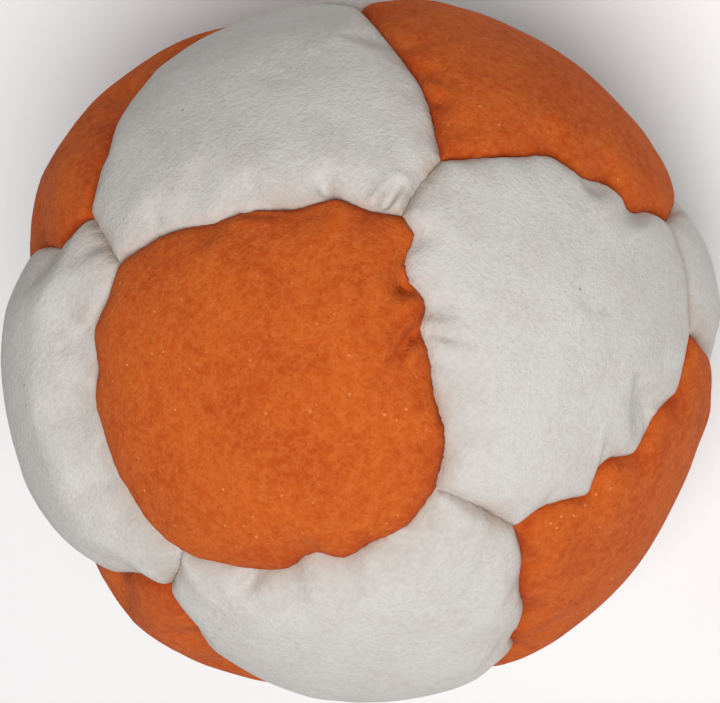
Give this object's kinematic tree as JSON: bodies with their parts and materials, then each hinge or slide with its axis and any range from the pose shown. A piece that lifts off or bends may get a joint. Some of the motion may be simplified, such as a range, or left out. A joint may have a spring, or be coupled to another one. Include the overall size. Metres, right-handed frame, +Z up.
{
  "type": "juggling ball",
  "caption": "Soft pellet-filled juggling ball, hand-sewn from square orange and six-sided white suede panels with turned-in seams.",
  "frame": {"origin": "centre of the small flat that the ball has settled on", "axes": "+Z up through the middle of the top orange panel, +X through the middle of the right orange panel, +Y through the middle of the back orange panel"},
  "size_m": [0.064, 0.064, 0.0584],
  "materials": {
    "orange_suede": "soft napped suede",
    "white_suede": "soft napped suede",
    "sewing_thread": "twisted matte thread",
    "pellets": "smooth translucent pellets"
  },
  "bodies": {
    "root": {"orange_panel_top": "orange_suede", "orange_panel_bottom": "orange_suede", "orange_panel_front": "orange_suede", "orange_panel_back": "orange_suede", "orange_panel_left": "orange_suede", "orange_panel_right": "orange_suede", "white_panel_top_front_left": "white_suede", "white_panel_top_front_right": "white_suede", "white_panel_top_back_left": "white_suede", "white_panel_top_back_right": "white_suede", "white_panel_bottom_front_left": "white_suede", "white_panel_bottom_front_right": "white_suede", "white_panel_bottom_back_left": "white_suede", "white_panel_bottom_back_right": "white_suede", "seam_thread_back_right": "sewing_thread", "seam_thread_front_right": "sewing_thread", "seam_thread_top_right": "sewing_thread", "seam_thread_bottom_right": "sewing_thread", "seam_thread_back_left": "sewing_thread", "seam_thread_front_left": "sewing_thread", "seam_thread_top_left": "sewing_thread", "seam_thread_bottom_left": "sewing_thread", "seam_thread_top_back": "sewing_thread", "seam_thread_bottom_back": "sewing_thread", "seam_thread_top_front": "sewing_thread", "seam_thread_bottom_front": "sewing_thread", "pellet_filling": "pellets"}
  },
  "joints": []
}
